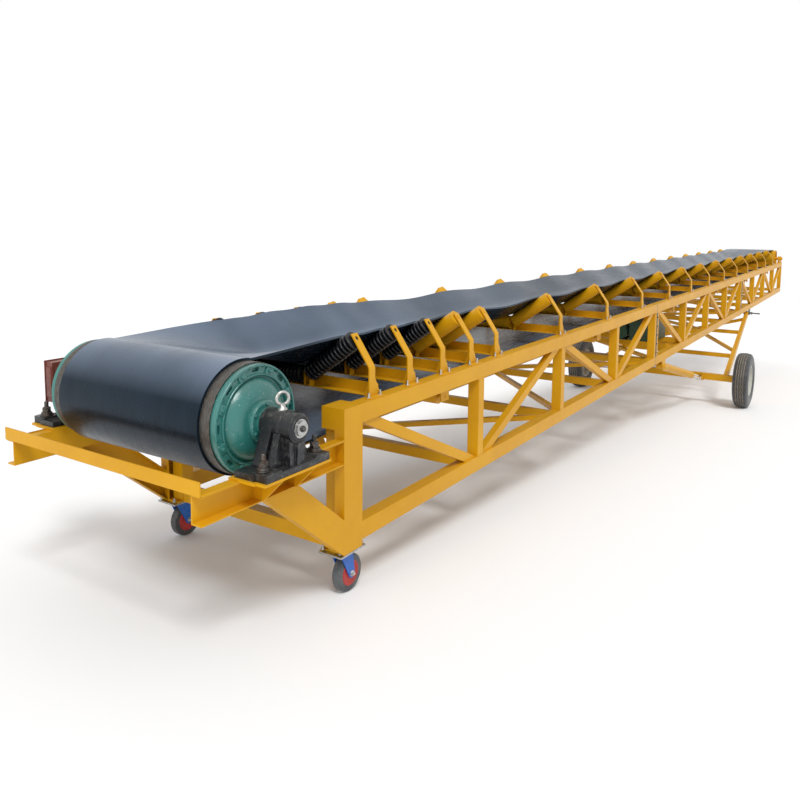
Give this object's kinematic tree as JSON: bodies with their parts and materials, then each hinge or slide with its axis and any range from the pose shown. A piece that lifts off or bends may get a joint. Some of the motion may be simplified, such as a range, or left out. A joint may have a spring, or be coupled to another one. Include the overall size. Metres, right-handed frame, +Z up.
{
  "type": "mobile belt conveyor",
  "caption": "Mobile inclined belt conveyor: lattice boom, troughed belt, motorised tail drum, lifting wheel stand and tail casters.",
  "frame": {"origin": "on the floor, under the middle of the overall box", "axes": "+X runs up the boom from the tail drum to the head, +Y to the left side, +Z up"},
  "size_m": [18.9214, 2.699, 2.8313],
  "materials": {
    "frame_yellow": "glossy paint, worn and dusty",
    "drum_green": "glossy paint",
    "unit_green": "satin paint",
    "bearing_black": "satin paint",
    "fork_blue": "glossy paint",
    "plate_grey": "worn paint",
    "box_red": "satin paint",
    "steel": "machined",
    "rod_chrome": "polished",
    "belt_rubber": "satin",
    "impact_rubber": "matt",
    "caster_rubber": "matt",
    "tyre": "matt, dusty",
    "rim_white": "satin paint"
  },
  "bodies": {
    "boom": {"bearing_blocks": "bearing_black", "bearing_pads": "frame_yellow", "caster_plates": "steel", "conveyor_belt": "belt_rubber", "cross_members": "frame_yellow", "cylinder_brackets": "frame_yellow", "drum_covers": "drum_green", "drum_motor": "steel", "drum_shaft": "steel", "drum_shell": "steel", "end_posts": "frame_yellow", "head_bearing_blocks": "bearing_black", "head_pulley": "steel", "hydraulic_motor": "unit_green", "hydraulic_tank": "unit_green", "idler_bases": "frame_yellow", "impact_rollers": "impact_rubber", "inner_brackets": "frame_yellow", "junction_box": "box_red", "outer_brackets": "frame_yellow", "return_brackets": "frame_yellow", "return_rollers": "frame_yellow", "section_joint_plates": "plate_grey", "shaft_cap": "steel", "side_frame_head_left": "frame_yellow", "side_frame_head_right": "frame_yellow", "side_frame_middle_left": "frame_yellow", "side_frame_middle_right": "frame_yellow", "side_frame_tail_left": "frame_yellow", "side_frame_tail_right": "frame_yellow", "stand_pivot_brackets": "plate_grey", "tail_arms": "frame_yellow", "tail_beam": "frame_yellow", "tail_braces": "frame_yellow", "tail_cross_members": "frame_yellow", "trough_rollers_head": "frame_yellow", "trough_rollers_middle": "frame_yellow", "unit_platform": "frame_yellow"},
    "stand": {"stand_frame": "frame_yellow"},
    "wheel_right": {"tyre_right": "tyre", "rim_right": "rim_white"},
    "wheel_left": {"tyre_left": "tyre", "rim_left": "rim_white"},
    "caster_fork_right": {"caster_fork_right": "fork_blue"},
    "caster_fork_left": {"caster_fork_left": "fork_blue"},
    "caster_wheel_right": {"caster_wheel_right": "caster_rubber"},
    "caster_wheel_left": {"caster_wheel_left": "caster_rubber"},
    "cylinder_barrel_right": {"cylinder_barrel_right": "frame_yellow"},
    "cylinder_barrel_left": {"cylinder_barrel_left": "frame_yellow"},
    "cylinder_rod_right": {"cylinder_rod_right": "rod_chrome"},
    "cylinder_rod_left": {"cylinder_rod_left": "rod_chrome"}
  },
  "joints": [
    {"name": "stand_pivot", "type": "hinge", "parent": "boom", "child": "stand", "pos_m": [4.53479, 0, 1.31637], "axis": [0, -1, 0], "range_deg": [0, 16]},
    {"name": "wheel_spin_right", "type": "hinge", "parent": "stand", "child": "wheel_right", "pos_m": [0.54806, -1.24, 0.405], "axis": [0, 1, 0], "continuous": true},
    {"name": "caster_swivel_right", "type": "hinge", "parent": "boom", "child": "caster_fork_right", "pos_m": [-8.39194, -0.627, 0.23325], "axis": [-0.0854, 0, 0.9963], "continuous": true},
    {"name": "caster_spin_right", "type": "hinge", "parent": "caster_fork_right", "child": "caster_wheel_right", "pos_m": [-8.34238, -0.627, 0.1], "axis": [0, 1, 0], "continuous": true},
    {"name": "cylinder_swing_right", "type": "hinge", "parent": "boom", "child": "cylinder_barrel_right", "pos_m": [-2.07056, -0.66, 0.74508], "axis": [0, 1, 0], "range_deg": [0, 20.5]},
    {"name": "cylinder_rod_right", "type": "slide", "parent": "cylinder_barrel_right", "child": "cylinder_rod_right", "axis": [0.9897, 0, -0.1433], "range_m": [0, 0.72]},
    {"name": "wheel_spin_left", "type": "hinge", "parent": "stand", "child": "wheel_left", "pos_m": [0.54806, 1.24, 0.405], "axis": [0, 1, 0], "continuous": true},
    {"name": "caster_swivel_left", "type": "hinge", "parent": "boom", "child": "caster_fork_left", "pos_m": [-8.39194, 0.627, 0.23325], "axis": [-0.0854, 0, 0.9963], "continuous": true},
    {"name": "caster_spin_left", "type": "hinge", "parent": "caster_fork_left", "child": "caster_wheel_left", "pos_m": [-8.34238, 0.627, 0.1], "axis": [0, 1, 0], "continuous": true},
    {"name": "cylinder_swing_left", "type": "hinge", "parent": "boom", "child": "cylinder_barrel_left", "pos_m": [-2.07056, 0.66, 0.74508], "axis": [0, 1, 0], "range_deg": [0, 20.5]},
    {"name": "cylinder_rod_left", "type": "slide", "parent": "cylinder_barrel_left", "child": "cylinder_rod_left", "axis": [0.9897, 0, -0.1433], "range_m": [0, 0.72]}
  ],
  "couplings": [
    {"joint": "cylinder_swing_right", "follows": "stand_pivot", "ratio": 1.2311},
    {"joint": "cylinder_rod_right", "follows": "stand_pivot", "m_per_rad": 2.4547},
    {"joint": "cylinder_swing_left", "follows": "stand_pivot", "ratio": 1.2311},
    {"joint": "cylinder_rod_left", "follows": "stand_pivot", "m_per_rad": 2.4547}
  ]
}
